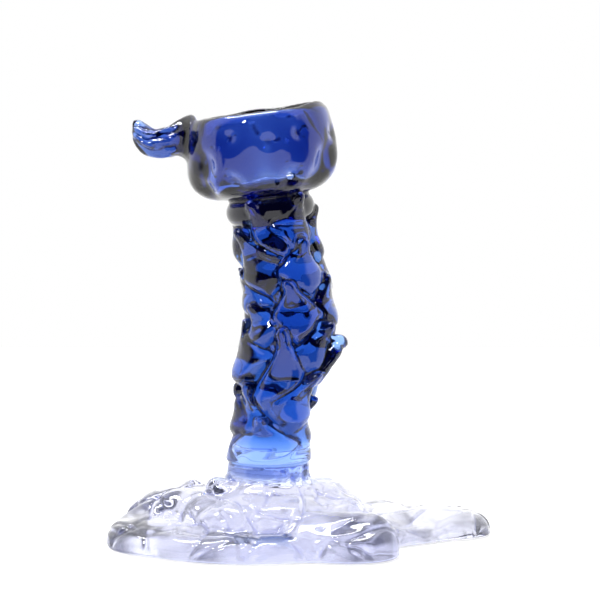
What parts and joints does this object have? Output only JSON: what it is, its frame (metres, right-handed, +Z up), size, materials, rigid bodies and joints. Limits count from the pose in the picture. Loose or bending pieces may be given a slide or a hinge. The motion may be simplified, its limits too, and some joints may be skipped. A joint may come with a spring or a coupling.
{
  "type": "glass candlestick",
  "caption": "Hot-worked glass candlestick: clear puddled foot, bowed cobalt stem laid with leaf-shaped bits, tilted open cup with a curled tail.",
  "frame": {"origin": "centre of the bounding box on the plane the foot rests on", "axes": "+Z up; the front, from which the tail points left and the tongue of the foot runs out towards the viewer, faces -Y"},
  "size_m": [0.1847, 0.1198, 0.2111],
  "materials": {
    "clear_glass": "gloss",
    "pale_blue_glass": "gloss",
    "cobalt_glass": "gloss"
  },
  "bodies": {
    "root": {"collar_wrap": "cobalt_glass", "cuff": "cobalt_glass", "cup": "cobalt_glass", "drip_bead": "clear_glass", "foot_puddle": "clear_glass", "front_tongue": "clear_glass", "neck": "pale_blue_glass", "neck_skirt": "clear_glass", "right_lobe": "clear_glass", "scale_hem_back": "cobalt_glass", "scale_hem_far_left": "cobalt_glass", "scale_hem_front": "cobalt_glass", "scale_hem_left": "cobalt_glass", "scale_hem_right": "cobalt_glass", "scale_low_front": "cobalt_glass", "scale_low_left_back": "cobalt_glass", "scale_low_right": "cobalt_glass", "scale_low_right_back": "cobalt_glass", "scale_middle_far_left": "cobalt_glass", "scale_middle_far_right": "cobalt_glass", "scale_middle_front": "cobalt_glass", "scale_middle_left_back": "cobalt_glass", "scale_middle_right_back": "cobalt_glass", "scale_thorn_right": "cobalt_glass", "scale_top_back": "cobalt_glass", "scale_top_left": "cobalt_glass", "scale_top_left_back": "cobalt_glass", "scale_top_rear_left": "cobalt_glass", "scale_top_right": "cobalt_glass", "scale_top_right_back": "cobalt_glass", "scale_upper_back": "cobalt_glass", "scale_upper_left": "cobalt_glass", "scale_upper_left_back": "cobalt_glass", "scale_upper_right": "cobalt_glass", "scale_upper_right_back": "cobalt_glass", "scale_waist_back": "cobalt_glass", "scale_waist_back_left": "cobalt_glass", "scale_waist_far_left": "cobalt_glass", "scale_waist_left": "cobalt_glass", "scale_waist_right": "cobalt_glass", "scale_waist_right_back": "cobalt_glass", "side_drip": "clear_glass", "stem_core": "cobalt_glass", "tail": "cobalt_glass", "upper_pour": "clear_glass"}
  },
  "joints": []
}
